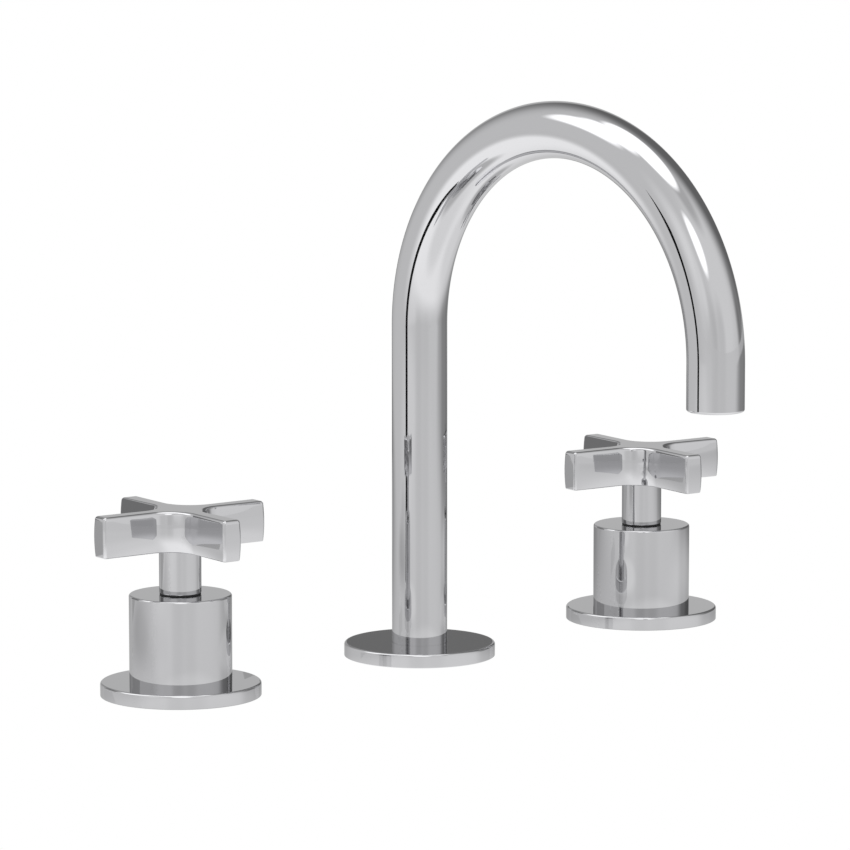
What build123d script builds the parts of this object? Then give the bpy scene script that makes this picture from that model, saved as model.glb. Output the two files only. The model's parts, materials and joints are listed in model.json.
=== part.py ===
from build123d import *
import os

# Widespread basin faucet: a hot valve, a gooseneck spout and a cold valve, apart in one row on a deck.
# Millimetres. +Z is up, +Y points to the wall and +X to the user's right.
# The origin is where the axis of the spout meets the top of the deck.

# Places on the deck
valve_spacing = 101.6
deck_thickness = 20.0

# Fits and gaps
slip_gap = 0.05
thread_gap = 0.1
shaft_gap = 0.05
lapped_gap = 0.05
turning_gap = 0.3
loose_gap = 0.6
cut_overrun = 1.0

# Flanges on the deck, and the gasket under each
valve_flange_radius = 25.4
spout_flange_radius = 24.65
flange_thickness = 4.4
flange_rim_break = 0.4
gasket_thickness = 1.2
gasket_inner_radius = 14.0
gasket_outer_radius = 20.2

# Threaded shanks and what clamps them under the deck
shank_radius = 12.0
shank_drop = 44.0
washer_outer_radius = 21.0
rubber_washer_thickness = 3.0
steel_washer_thickness = 1.6
locknut_flat_radius = 16.0
locknut_height = 9.0
locknut_collar_radius = 15.2
locknut_collar_height = 1.2

# Bonnet over each valve
bonnet_radius = 16.2
bonnet_height = 27.85
bonnet_wall = 2.2
bonnet_cap_thickness = 2.4
bonnet_rim_break = 0.4
bonnet_thread_length = 7.0
stem_window_radius = 5.3

# Valve body
neck_height = 18.0
chamber_radius = 9.4
chamber_depth = 22.0
nut_thread_radius = 10.6
nut_thread_length = 6.0
body_radius = 13.4
body_height = 18.0
body_flat_radius = 12.2
body_flat_height = 6.0
inlet_thread_radius = 10.48
inlet_thread_length = 14.0
inlet_bore_radius = 7.9
inlet_bore_depth = 16.0
passage_radius = 2.6
port_offset = 4.9

# Hose nipples, on the valve bodies and on the tee
nipple_reach = 30.0
nipple_thread_radius = 7.14
nipple_thread_length = 11.0
nipple_shoulder_radius = 8.8
nipple_bore_radius = 3.6

# Cartridge
seal_thickness = 1.6
seal_port_radius = 2.3
housing_radius = 9.3
cavity_radius = 8.2
collar_radius = 7.2
collar_height = 3.5
seal_groove_depth = 1.0
seal_groove_height = 1.6
seal_groove_share = 0.62
disc_port_radius = 1.9
fixed_disc_thickness = 2.8
moving_disc_thickness = 4.0
moving_disc_play = 0.4
link_depth = 1.2
key_width = 3.0
key_depth = 1.1
drive_width = 3.2
drive_depth = 1.2
nut_head_height = 4.6
nut_flat_radius = 10.0

# Quarter-turn stop: a lug on the drive plate runs in a window of the housing
quarter_turn = 90.0
lug_angle = 40.0
stop_slack = 1.5
drive_plate_radius = 6.2
drive_plate_thickness = 2.75
lug_radius = 7.7
lug_root_radius = 5.0

# Spindle and its toothed top
stem_radius = 4.5
spline_root_radius = 3.5
spline_tip_radius = 4.0
spline_tooth_width = 1.1
spline_teeth = 12
stem_groove_depth = 0.9
stem_groove_height = 1.8
stem_groove_share = 0.5

# Handle sleeve and its fasteners
sleeve_radius = 6.65
sleeve_wall = 1.75
sleeve_length = 13.85
sleeve_web_thickness = 2.0
spigot_radius = 4.6
spigot_height = 4.2
set_screw_radius = 2.0
set_screw_recess = 0.3
set_screw_socket_flat_radius = 1.0
set_screw_height_share = 0.5
handle_screw_radius = 2.0
handle_screw_reach = 9.6
handle_screw_head_radius = 3.4
handle_screw_head_height = 2.6
handle_screw_socket_flat_radius = 1.5
handle_screw_socket_depth = 1.6

# Cross handle; its arms are measured along the rims, inside the bulge of their sides
handle_height = 12.9
arm_reach = 29.6
arm_tip_half_width = 3.0
arm_throat_half_width = 1.9
arm_throat_distance = 14.0
web_radius = 11.8
side_bulge = 0.45
handle_rim_break = 0.5
rim_band_width = 1.2
arm_count = 4
hot_rest_turn = -6.8
cold_rest_turn = -8.7

# Spout
tube_radius = 9.0
tube_wall = 1.1
arch_radius = 67.3
arch_centre_height = 109.05
outlet_leg_length = 14.75
outlet_rim_break = 0.6
base_plate_thickness = 1.8
base_spigot_height = 12.0
spout_shank_length = 56.0
spout_shank_bore_radius = 5.0

# Tee under the spout
tee_radius = 15.0
tee_cup_depth = 13.0
tee_height = 31.0
tee_gasket_thickness = 1.6
tee_bore_radius = 5.0

# Aerator inside the outlet
outlet_ring_inset = 1.2
outlet_ring_height = 12.0
outlet_ring_bore_radius = 6.9
aerator_inset = 0.6
aerator_height = 8.0
aerator_wall = 1.2
aerator_lip_width = 0.7
aerator_lip_height = 0.8
screen_thickness = 0.6
screen_mesh_width = 1.2
screen_pitch = 1.9
screen_rows = 5
flow_disc_thickness = 2.4
flow_hole_radius = 0.7
flow_hole_circle_radius = 3.4
flow_holes = 6
aerator_gasket_thickness = 1.2

# Heights that follow from the sizes above, counted from the deck
bonnet_top = flange_thickness + bonnet_height
chamber_floor = neck_height - chamber_depth
nut_seat = neck_height - nut_thread_length
fixed_disc_low = chamber_floor + seal_thickness
fixed_disc_high = fixed_disc_low + fixed_disc_thickness
moving_disc_low = fixed_disc_high + lapped_gap
moving_disc_high = moving_disc_low + moving_disc_thickness
lug_low = moving_disc_high + turning_gap
drive_plate_high = moving_disc_high + drive_plate_thickness
cavity_ceiling = drive_plate_high + turning_gap
housing_top = neck_height + collar_height
seal_groove_room = nut_seat - seal_groove_height - cavity_ceiling
seal_groove_low = cavity_ceiling + seal_groove_share * seal_groove_room
seal_groove_high = seal_groove_low + seal_groove_height
stem_groove_room = housing_top - stem_groove_height - cavity_ceiling
stem_groove_low = cavity_ceiling + stem_groove_share * stem_groove_room
stem_groove_high = stem_groove_low + stem_groove_height
sleeve_foot = bonnet_top + turning_gap
sleeve_top = sleeve_foot + sleeve_length
sleeve_web_low = sleeve_top - sleeve_web_thickness
screw_head_low = sleeve_web_low - handle_screw_head_height
adapter_high = screw_head_low - slip_gap
set_screw_height = sleeve_foot + set_screw_height_share * (adapter_high - sleeve_foot)
body_low = -shank_drop - body_height
flats_low = body_low - body_flat_height
inlet_end = flats_low - inlet_thread_length
inlet_bore_top = inlet_end + inlet_bore_depth
nipple_height = -shank_drop - body_height / 2
base_plate_top = gasket_thickness + base_plate_thickness
outlet_height = arch_centre_height - outlet_leg_length
rubber_washer_low = -deck_thickness - rubber_washer_thickness
steel_washer_low = rubber_washer_low - steel_washer_thickness

# Radii and the arms' flare, which follow from the sizes above
sleeve_bore_radius = sleeve_radius - sleeve_wall
tube_bore_radius = tube_radius - tube_wall
base_plate_radius = gasket_outer_radius + slip_gap
moving_disc_radius = cavity_radius - moving_disc_play
arm_flare = (arm_tip_half_width - arm_throat_half_width) / (arm_reach - arm_throat_distance)

os.makedirs("parts", exist_ok=True)

# Each unit stands on its own plane, whose X axis points from a valve to the spout
hot_stand = Plane(origin=(-valve_spacing, 0, 0), x_dir=(1, 0, 0), z_dir=(0, 0, 1))
cold_stand = Plane(origin=(valve_spacing, 0, 0), x_dir=(-1, 0, 0), z_dir=(0, 0, 1))
spout_stand = Plane.XY
outlet_stand = Plane(origin=(0, -2 * arch_radius, outlet_height), x_dir=(1, 0, 0), z_dir=(0, 0, 1))
stands = [hot_stand, spout_stand, cold_stand]
to_wall = Vector(0, 1, 0)


def keep(piece, name):
    """Label a finished piece and write it to its own file."""
    piece.part.label = name
    export_step(piece.part, f"parts/{name}.step")


def upright(stand):
    """The plane of a half profile: its X is the radius on a stand and its Y the height."""
    return Plane(origin=stand.origin, x_dir=stand.x_dir, z_dir=stand.x_dir.cross(stand.z_dir))


def axis_of(stand):
    return Axis(stand.origin, stand.z_dir)


def turned(stand, outline):
    """A piece turned about a stand's axis, from the (radius, height) corners of its half profile."""
    with BuildPart() as piece:
        with BuildSketch(upright(stand)):
            with BuildLine():
                Polyline(*outline, close=True)
            make_face()
        revolve(axis=axis_of(stand))
    return piece


def ring(stand, inner, outer, low, high):
    """A flat ring between two heights."""
    return turned(stand, [(inner, low), (outer, low), (outer, high), (inner, high)])


def sector(stand, inner, outer, low, high, start, sweep_angle):
    """A part of a flat ring that begins at an angle from the stand's X axis and goes counter-clockwise."""
    with BuildPart() as piece:
        with BuildSketch(upright(stand.rotated((0, 0, start)))):
            with BuildLine():
                Polyline((inner, low), (outer, low), (outer, high), (inner, high), close=True)
            make_face()
        revolve(axis=axis_of(stand), revolution_arc=sweep_angle)
    return piece


def sideways(stand, height, direction):
    """The plane that faces along a direction, on a stand's axis at a height."""
    return Plane(origin=stand.origin + stand.z_dir * height, x_dir=stand.z_dir, z_dir=direction)


def spline_outline(gap):
    """The toothed outline of the spindle's top, or of the bore that fits it with a gap."""
    tip = spline_tip_radius + gap
    root = spline_root_radius + gap
    with BuildSketch() as teeth:
        with PolarLocations(tip / 2, spline_teeth):
            Rectangle(tip, spline_tooth_width + 2 * gap)
        Circle(root)
        Circle(tip, mode=Mode.INTERSECT)
    return teeth.sketch


# Flanges and gaskets
def valve_flange(stand, name):
    """Round plate on the deck, with a hole for the shank and a groove for the gasket underneath."""
    hole = shank_radius + thread_gap
    groove_inner = gasket_inner_radius - slip_gap
    groove_outer = gasket_outer_radius + slip_gap
    flange = turned(stand, [
        (hole, 0),
        (groove_inner, 0),
        (groove_inner, gasket_thickness),
        (groove_outer, gasket_thickness),
        (groove_outer, 0),
        (valve_flange_radius, 0),
        (valve_flange_radius, flange_thickness - flange_rim_break),
        (valve_flange_radius - flange_rim_break, flange_thickness),
        (hole, flange_thickness),
    ])
    keep(flange, name)


def spout_flange():
    """Round plate that screws on the spout's base plate and covers it."""
    hole = tube_radius + slip_gap
    recess = base_plate_radius + thread_gap
    flange = turned(spout_stand, [
        (recess, 0),
        (spout_flange_radius, 0),
        (spout_flange_radius, flange_thickness - flange_rim_break),
        (spout_flange_radius - flange_rim_break, flange_thickness),
        (hole, flange_thickness),
        (hole, base_plate_top),
        (recess, base_plate_top),
    ])
    keep(flange, "spout_flange")


def flange_gaskets():
    """The three soft rings under the flanges, flush with their undersides."""
    with BuildPart() as gaskets:
        for stand in stands:
            add(ring(stand, gasket_inner_radius, gasket_outer_radius, 0, gasket_thickness).part)
    keep(gaskets, "flange_gaskets")


# Washers and nuts under the deck
def deck_washers():
    """Under the deck each shank carries a rubber washer and a steel one."""
    hole = shank_radius + loose_gap
    with BuildPart() as rubber:
        for stand in stands:
            add(ring(stand, hole, washer_outer_radius, rubber_washer_low, -deck_thickness).part)
    keep(rubber, "rubber_deck_washers")
    with BuildPart() as steel:
        for stand in stands:
            add(ring(stand, hole, washer_outer_radius, steel_washer_low, rubber_washer_low).part)
    keep(steel, "steel_deck_washers")


def locknut(stand):
    """Hexagon nut with a round collar that bears on the steel washer."""
    nut_low = steel_washer_low - locknut_height
    collar_low = steel_washer_low - locknut_collar_height
    with BuildPart() as nut:
        with BuildSketch(stand.offset(nut_low)):
            RegularPolygon(locknut_flat_radius, 6, major_radius=False)
        extrude(amount=collar_low - nut_low)
        with BuildSketch(stand.offset(collar_low)):
            Circle(locknut_collar_radius)
        extrude(amount=locknut_collar_height)
        with BuildSketch(stand.offset(nut_low)):
            Circle(shank_radius + thread_gap)
        extrude(amount=locknut_height, mode=Mode.SUBTRACT)
    return nut.part


def locknuts():
    with BuildPart() as nuts:
        for stand in stands:
            add(locknut(stand))
    keep(nuts, "locknuts")


# Bonnet
def bonnet(stand, name):
    """Closed cylinder that screws on the neck, clamps the flange and hides the cartridge."""
    land = shank_radius + thread_gap
    inside = bonnet_radius - bonnet_wall
    land_top = flange_thickness + bonnet_thread_length
    ceiling = bonnet_top - bonnet_cap_thickness
    shell = turned(stand, [
        (land, flange_thickness),
        (bonnet_radius, flange_thickness),
        (bonnet_radius, bonnet_top - bonnet_rim_break),
        (bonnet_radius - bonnet_rim_break, bonnet_top),
        (stem_window_radius, bonnet_top),
        (stem_window_radius, ceiling),
        (inside, ceiling),
        (inside, land_top),
        (land, land_top),
    ])
    keep(shell, name)


# Valve body
def nipple(stand, height, direction):
    """A hose nipple that starts on the stand's axis: a shoulder, then the thread."""
    with BuildPart() as stub:
        with BuildSketch(sideways(stand, height, direction)):
            Circle(nipple_shoulder_radius)
        extrude(amount=nipple_reach - nipple_thread_length)
        with BuildSketch(sideways(stand, height, direction)):
            Circle(nipple_thread_radius)
        extrude(amount=nipple_reach)
    return stub.part


def nipple_bore(stand, height, direction, start):
    """The drilling that a nipple needs, from a distance off the axis to past its end."""
    with BuildPart() as drilling:
        with BuildSketch(sideways(stand, height, direction).offset(start)):
            Circle(nipple_bore_radius)
        extrude(amount=nipple_reach - start + cut_overrun)
    return drilling.part


def valve_body(stand, name):
    """Body with a cartridge chamber, a long shank, two water passages, a side outlet and a bottom inlet."""
    nut_bore = nut_thread_radius + thread_gap
    blank = turned(stand, [
        (0, chamber_floor),
        (chamber_radius, chamber_floor),
        (chamber_radius, nut_seat),
        (nut_bore, nut_seat),
        (nut_bore, neck_height),
        (shank_radius, neck_height),
        (shank_radius, -shank_drop),
        (body_radius, -shank_drop),
        (body_radius, body_low),
        (inlet_thread_radius, body_low),
        (inlet_thread_radius, inlet_end),
        (inlet_bore_radius, inlet_end),
        (inlet_bore_radius, inlet_bore_top),
        (0, inlet_bore_top),
    ])
    with BuildPart() as body:
        add(blank.part)
        add(nipple(stand, nipple_height, stand.x_dir))
        with BuildSketch(stand.offset(flats_low)):
            RegularPolygon(body_flat_radius, 6, major_radius=False)
            Circle(inlet_bore_radius, mode=Mode.SUBTRACT)
        extrude(amount=body_flat_height)
        add(nipple_bore(stand, nipple_height, stand.x_dir, port_offset), mode=Mode.SUBTRACT)
        with BuildSketch(stand.offset(inlet_bore_top - cut_overrun)):
            with Locations((-port_offset, 0)):
                Circle(passage_radius)
        extrude(amount=chamber_floor - inlet_bore_top + 2 * cut_overrun, mode=Mode.SUBTRACT)
        with BuildSketch(stand.offset(nipple_height)):
            with Locations((port_offset, 0)):
                Circle(passage_radius)
        extrude(amount=chamber_floor - nipple_height + cut_overrun, mode=Mode.SUBTRACT)
    keep(body, name)


# Cartridge
def seat_seal(stand, name):
    """Soft disc on the chamber's floor, with a hole round each port."""
    with BuildPart() as seal:
        with BuildSketch(stand.offset(chamber_floor)):
            Circle(cavity_radius - slip_gap)
            with Locations((-port_offset, 0), (port_offset, 0)):
                Circle(seal_port_radius, mode=Mode.SUBTRACT)
        extrude(amount=seal_thickness)
    keep(seal, name)


def fixed_disc(stand, name):
    """Ceramic disc with two ports, held from turning by two keys of the housing."""
    notch_centre = cavity_radius - key_depth / 2
    with BuildPart() as disc:
        with BuildSketch(stand.offset(fixed_disc_low)):
            Circle(cavity_radius - slip_gap)
            with Locations((-port_offset, 0), (port_offset, 0)):
                Circle(disc_port_radius, mode=Mode.SUBTRACT)
            with Locations((0, -notch_centre), (0, notch_centre)):
                Rectangle(key_width + 2 * slip_gap, key_depth + 2 * slip_gap, mode=Mode.SUBTRACT)
        extrude(amount=fixed_disc_thickness)
    keep(disc, name)


def moving_disc(stand, name):
    """Ceramic disc whose hollow joins the two ports after a quarter turn; a slot on top takes the drive."""
    with BuildPart() as disc:
        with BuildSketch(stand.offset(moving_disc_low)):
            Circle(moving_disc_radius)
        extrude(amount=moving_disc_thickness)
        with BuildSketch(stand.offset(moving_disc_low)):
            SlotCenterToCenter(2 * port_offset, 2 * disc_port_radius, rotation=90)
        extrude(amount=link_depth, mode=Mode.SUBTRACT)
        with BuildSketch(stand.offset(moving_disc_high)):
            Rectangle(2 * cavity_radius, drive_width + 2 * slip_gap)
        extrude(amount=-drive_depth - slip_gap, mode=Mode.SUBTRACT)
    keep(disc, name)


def cartridge_housing(stand, name, opening):
    """Shell round the discs and the spindle; keys for the fixed disc and the turning stop are inside."""
    groove_radius = housing_radius - seal_groove_depth
    stem_bore = stem_radius + shaft_gap
    window_side = lug_angle / 2 + stop_slack
    stop_start = quarter_turn + window_side if opening > 0 else window_side
    stop_angle = 360 - quarter_turn - 2 * window_side
    shell = turned(stand, [
        (cavity_radius, chamber_floor),
        (housing_radius, chamber_floor),
        (housing_radius, seal_groove_low),
        (groove_radius, seal_groove_low),
        (groove_radius, seal_groove_high),
        (housing_radius, seal_groove_high),
        (housing_radius, nut_seat),
        (collar_radius, nut_seat),
        (collar_radius, housing_top),
        (stem_bore, housing_top),
        (stem_bore, cavity_ceiling),
        (cavity_radius, cavity_ceiling),
    ])
    stop = sector(stand, drive_plate_radius + turning_gap, cavity_radius, lug_low, cavity_ceiling,
                  stop_start, stop_angle)
    with BuildPart() as housing:
        add(shell.part)
        add(stop.part)
        with BuildSketch(stand.offset(fixed_disc_low)):
            with Locations((0, -cavity_radius), (0, cavity_radius)):
                Rectangle(key_width, 2 * key_depth)
            Circle(cavity_radius + slip_gap, mode=Mode.INTERSECT)
        extrude(amount=fixed_disc_thickness)
    keep(housing, name)


def housing_seal(stand, name):
    """Seal ring between the housing's groove and the wall of the chamber."""
    groove_radius = housing_radius - seal_groove_depth
    keep(ring(stand, groove_radius, chamber_radius, seal_groove_low, seal_groove_high), name)


def cartridge_nut(stand, name):
    """Nut that screws into the neck and holds the housing down by its shoulder."""
    bore = collar_radius + thread_gap
    with BuildPart() as nut:
        with BuildSketch(stand.offset(nut_seat)):
            Circle(nut_thread_radius)
            Circle(bore, mode=Mode.SUBTRACT)
        extrude(amount=nut_thread_length)
        with BuildSketch(stand.offset(neck_height)):
            RegularPolygon(nut_flat_radius, 6, major_radius=False)
            Circle(bore, mode=Mode.SUBTRACT)
        extrude(amount=nut_head_height)
    keep(nut, name)


# What turns with the handle
def spindle(stand, name, opening):
    """Drive plate with a tongue below and the stop lug at its side, then the stem and its toothed top."""
    groove_radius = stem_radius - stem_groove_depth
    shaft = turned(stand, [
        (0, moving_disc_high),
        (drive_plate_radius, moving_disc_high),
        (drive_plate_radius, drive_plate_high),
        (stem_radius, drive_plate_high),
        (stem_radius, stem_groove_low),
        (groove_radius, stem_groove_low),
        (groove_radius, stem_groove_high),
        (stem_radius, stem_groove_high),
        (stem_radius, sleeve_foot),
        (0, sleeve_foot),
    ])
    lug = sector(stand, lug_root_radius, lug_radius, lug_low, drive_plate_high, -lug_angle / 2, lug_angle)
    with BuildPart() as piece:
        add(shaft.part)
        add(lug.part)
        with BuildSketch(stand.offset(moving_disc_high)):
            Rectangle(2 * drive_plate_radius, drive_width)
            Circle(drive_plate_radius, mode=Mode.INTERSECT)
        extrude(amount=-drive_depth)
        with BuildSketch(stand.offset(sleeve_foot)):
            add(spline_outline(0))
        extrude(amount=adapter_high - sleeve_foot)
    keep(piece, name)


def spindle_seal(stand, name):
    """Seal ring in the stem's groove."""
    groove_radius = stem_radius - stem_groove_depth
    keep(ring(stand, groove_radius, stem_radius, stem_groove_low, stem_groove_high), name)


def spline_adapter(stand, name):
    """Bush between the spindle's teeth and the sleeve, drilled at the back for the set screw."""
    with BuildPart() as bush:
        with BuildSketch(stand.offset(sleeve_foot)):
            Circle(sleeve_bore_radius - slip_gap)
            add(spline_outline(slip_gap), mode=Mode.SUBTRACT)
        extrude(amount=adapter_high - sleeve_foot)
        with BuildSketch(sideways(stand, set_screw_height, to_wall)):
            Circle(set_screw_radius + slip_gap)
        extrude(amount=sleeve_radius, mode=Mode.SUBTRACT)
    keep(bush, name)


def handle_sleeve(stand, name):
    """Slim cylinder under the cross, with a spigot on top and a screw hole at the back."""
    screw_hole = handle_screw_radius + slip_gap
    barrel = turned(stand, [
        (sleeve_bore_radius, sleeve_foot),
        (sleeve_radius, sleeve_foot),
        (sleeve_radius, sleeve_top),
        (spigot_radius, sleeve_top),
        (spigot_radius, sleeve_top + spigot_height),
        (screw_hole, sleeve_top + spigot_height),
        (screw_hole, sleeve_web_low),
        (sleeve_bore_radius, sleeve_web_low),
    ])
    with BuildPart() as sleeve:
        add(barrel.part)
        with BuildSketch(sideways(stand, set_screw_height, to_wall)):
            Circle(set_screw_radius + slip_gap)
        extrude(amount=sleeve_radius + cut_overrun, mode=Mode.SUBTRACT)
    keep(sleeve, name)


def set_screw(stand, name):
    """Headless screw at the sleeve's back, which bears on the spindle's teeth."""
    back = sideways(stand, set_screw_height, to_wall)
    tip = spline_tip_radius + slip_gap
    length = sleeve_radius - set_screw_recess - tip
    with BuildPart() as screw:
        with BuildSketch(back.offset(tip)):
            Circle(set_screw_radius)
        extrude(amount=length)
        with BuildSketch(back.offset(tip + length)):
            RegularPolygon(set_screw_socket_flat_radius, 6, major_radius=False)
        extrude(amount=-length / 2, mode=Mode.SUBTRACT)
    keep(screw, name)


def handle_screw(stand, name):
    """Screw that goes up through the sleeve into the cross; its head lies above the adapter."""
    with BuildPart() as screw:
        with BuildSketch(stand.offset(screw_head_low)):
            Circle(handle_screw_head_radius)
        extrude(amount=handle_screw_head_height)
        with BuildSketch(stand.offset(sleeve_web_low)):
            Circle(handle_screw_radius)
        extrude(amount=handle_screw_reach)
        with BuildSketch(stand.offset(screw_head_low)):
            RegularPolygon(handle_screw_socket_flat_radius, 6, major_radius=False)
        extrude(amount=handle_screw_socket_depth, mode=Mode.SUBTRACT)
    keep(screw, name)


def arm_half_width(distance):
    """Half the width of an arm at its rims, at a distance from the axis."""
    return arm_throat_half_width + arm_flare * (distance - arm_throat_distance)


def meeting_point():
    """Where the straight rims of two neighbouring arms would meet, on the diagonal between them."""
    return arm_half_width(0) / (1 - arm_flare)


def arm_beyond():
    """A distance from the axis just past the ends of the arms."""
    return arm_reach + side_bulge + cut_overrun


def handle_core():
    """The flat middle of the cross, a little smaller than its rims and longer than its arms."""
    one_arm = [
        Vector(arm_beyond(), -arm_half_width(arm_beyond())),
        Vector(arm_beyond(), arm_half_width(arm_beyond())),
        Vector(meeting_point(), meeting_point()),
    ]
    turns = [arm * 360 / arm_count for arm in range(arm_count)]
    corners = [corner.rotate(Axis.Z, turn) for turn in turns for corner in one_arm]
    with BuildPart() as core:
        with BuildSketch() as plan:
            with BuildLine():
                Polyline(*corners, close=True)
            make_face()
            fillet(plan.vertices().sort_by_distance((0, 0))[:arm_count], web_radius)
            offset(amount=-rim_band_width / 2, mode=Mode.REPLACE)
        extrude(amount=handle_height)
    return core


def bulged_flank():
    """One side of an arm, the round web and the side of the next arm, in one sweep with broken rims."""
    arm_side = (arm_beyond(), arm_half_width(arm_beyond()))
    next_side = (arm_half_width(arm_beyond()), arm_beyond())
    with BuildPart() as flank:
        with BuildLine() as run:
            FilletPolyline(arm_side, (meeting_point(), meeting_point()), next_side, radius=web_radius)
        inward = run.line % 0
        with BuildSketch(Plane(origin=run.line @ 0, x_dir=inward.cross(Vector(0, 0, 1)), z_dir=-inward)):
            with BuildLine():
                low = (0, handle_rim_break)
                high = (0, handle_height - handle_rim_break)
                ThreePointArc(low, (side_bulge, handle_height / 2), high)
                Polyline(
                    high,
                    (-handle_rim_break, handle_height),
                    (-rim_band_width, handle_height),
                    (-rim_band_width, 0),
                    (-handle_rim_break, 0),
                    low,
                )
            make_face()
        sweep(path=run.wire())
    return flank


def arm_ends():
    """Two crossed slabs with bulged ends, which trim the arms to their length."""
    with BuildPart() as slabs:
        with BuildSketch(Plane.XZ):
            with BuildLine():
                low = (arm_reach, handle_rim_break)
                high = (arm_reach, handle_height - handle_rim_break)
                ThreePointArc(low, (arm_reach + side_bulge, handle_height / 2), high)
                Polyline(
                    high,
                    (arm_reach - handle_rim_break, handle_height),
                    (0, handle_height),
                    (0, 0),
                    (arm_reach - handle_rim_break, 0),
                    low,
                )
            make_face()
            mirror(about=Plane.YZ)
        extrude(amount=web_radius, both=True)
        add(slabs.part.rotate(Axis.Z, 360 / arm_count))
    return slabs


def cross_handle(stand, name, rest_turn):
    """Four-armed cross with bulged sides and ends, and below it a spigot socket and a screw hole."""
    core = handle_core()
    flank = bulged_flank()
    ends = arm_ends()
    with BuildPart() as blank:
        add(core.part)
        with PolarLocations(0, arm_count):
            add(flank.part)
        add(ends.part, mode=Mode.INTERSECT)
        with BuildSketch():
            Circle(spigot_radius + slip_gap)
        extrude(amount=spigot_height + slip_gap, mode=Mode.SUBTRACT)
        with BuildSketch():
            Circle(handle_screw_radius + slip_gap)
        extrude(amount=handle_screw_reach - sleeve_web_thickness + slip_gap, mode=Mode.SUBTRACT)
    seat = Plane(origin=stand.offset(sleeve_top).origin).rotated((0, 0, rest_turn))
    with BuildPart() as cross:
        add(blank.part.moved(seat.location))
    keep(cross, name)


# Spout
def spout_tube():
    """One bent tube: up from the base plate, half round, and down to the outlet."""
    near_end = (0, 0, arch_centre_height)
    crown = (0, -arch_radius, arch_centre_height + arch_radius)
    far_end = (0, -2 * arch_radius, arch_centre_height)
    with BuildPart() as tube:
        with BuildLine() as run:
            Line((0, 0, base_plate_top), near_end)
            ThreePointArc(near_end, crown, far_end)
            Line(far_end, outlet_stand.origin)
        with BuildSketch(spout_stand.offset(base_plate_top)):
            Circle(tube_radius)
            Circle(tube_bore_radius, mode=Mode.SUBTRACT)
        sweep(path=run.wire())
        mouth = tube.faces().sort_by_distance(outlet_stand.origin)[0]
        chamfer(mouth.outer_wire().edges(), outlet_rim_break)
    keep(tube, "spout_tube")


def spout_base():
    """Base plate under the flange, with the spigot that carries the tube and the threaded shank."""
    spigot = tube_bore_radius - slip_gap
    base = turned(spout_stand, [
        (spout_shank_bore_radius, base_plate_top + base_spigot_height),
        (spigot, base_plate_top + base_spigot_height),
        (spigot, base_plate_top),
        (base_plate_radius, base_plate_top),
        (base_plate_radius, gasket_thickness),
        (shank_radius, gasket_thickness),
        (shank_radius, -spout_shank_length),
        (spout_shank_bore_radius, -spout_shank_length),
    ])
    keep(base, "spout_base")


def tee():
    """Cup that screws on the shank's end, with a hose nipple towards each valve."""
    cup_floor = -spout_shank_length - tee_gasket_thickness
    tee_top = cup_floor + tee_cup_depth
    tee_low = tee_top - tee_height
    arm_height = (cup_floor + tee_low) / 2
    cup = turned(spout_stand, [
        (0, arm_height),
        (tee_bore_radius, arm_height),
        (tee_bore_radius, cup_floor),
        (shank_radius + thread_gap, cup_floor),
        (shank_radius + thread_gap, tee_top),
        (tee_radius, tee_top),
        (tee_radius, tee_low),
        (0, tee_low),
    ])
    with BuildPart() as body:
        for side in (hot_stand.x_dir, cold_stand.x_dir):
            add(nipple(spout_stand, arm_height, side))
        with BuildSketch(spout_stand.offset(cup_floor)):
            Circle(tee_radius)
        extrude(amount=tee_cup_depth, mode=Mode.SUBTRACT)
        add(cup.part)
        for side in (hot_stand.x_dir, cold_stand.x_dir):
            add(nipple_bore(spout_stand, arm_height, side, 0), mode=Mode.SUBTRACT)
    keep(body, "tee")
    gasket = ring(spout_stand, tee_bore_radius, shank_radius - slip_gap, cup_floor, -spout_shank_length)
    keep(gasket, "tee_gasket")


# Aerator
def outlet_ring():
    """Threaded ring soldered in the end of the tube."""
    outside = tube_bore_radius - slip_gap
    high = outlet_ring_inset + outlet_ring_height
    keep(ring(outlet_stand, outlet_ring_bore_radius, outside, outlet_ring_inset, high), "outlet_ring")


def aerator():
    """Recessed aerator: a cup whose lip holds the screen, a flow disc above it and a gasket on top."""
    outside = outlet_ring_bore_radius - thread_gap
    inside = outside - aerator_wall
    low = outlet_ring_inset + aerator_inset
    high = low + aerator_height
    screen_low = low + aerator_lip_height
    flow_low = high - flow_disc_thickness
    cup = turned(outlet_stand, [
        (inside - aerator_lip_width, low),
        (outside, low),
        (outside, high),
        (inside, high),
        (inside, screen_low),
        (inside - aerator_lip_width, screen_low),
    ])
    keep(cup, "aerator_cup")

    with BuildPart() as screen:
        with BuildSketch(outlet_stand.offset(screen_low)):
            Circle(inside - slip_gap)
            reach = inside - aerator_lip_width - screen_mesh_width
            with GridLocations(screen_pitch, screen_pitch, screen_rows, screen_rows) as meshes:
                near = [place for place in meshes.local_locations if place.position.length < reach]
            with Locations(*near):
                Rectangle(screen_mesh_width, screen_mesh_width, mode=Mode.SUBTRACT)
        extrude(amount=screen_thickness)
    keep(screen, "aerator_screen")

    with BuildPart() as flow:
        with BuildSketch(outlet_stand.offset(flow_low)):
            Circle(inside - slip_gap)
            with PolarLocations(flow_hole_circle_radius, flow_holes):
                Circle(flow_hole_radius, mode=Mode.SUBTRACT)
        extrude(amount=flow_disc_thickness)
    keep(flow, "flow_disc")
    gasket_high = high + aerator_gasket_thickness
    keep(ring(outlet_stand, inside - aerator_lip_width, outside, high, gasket_high), "aerator_gasket")


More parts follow.
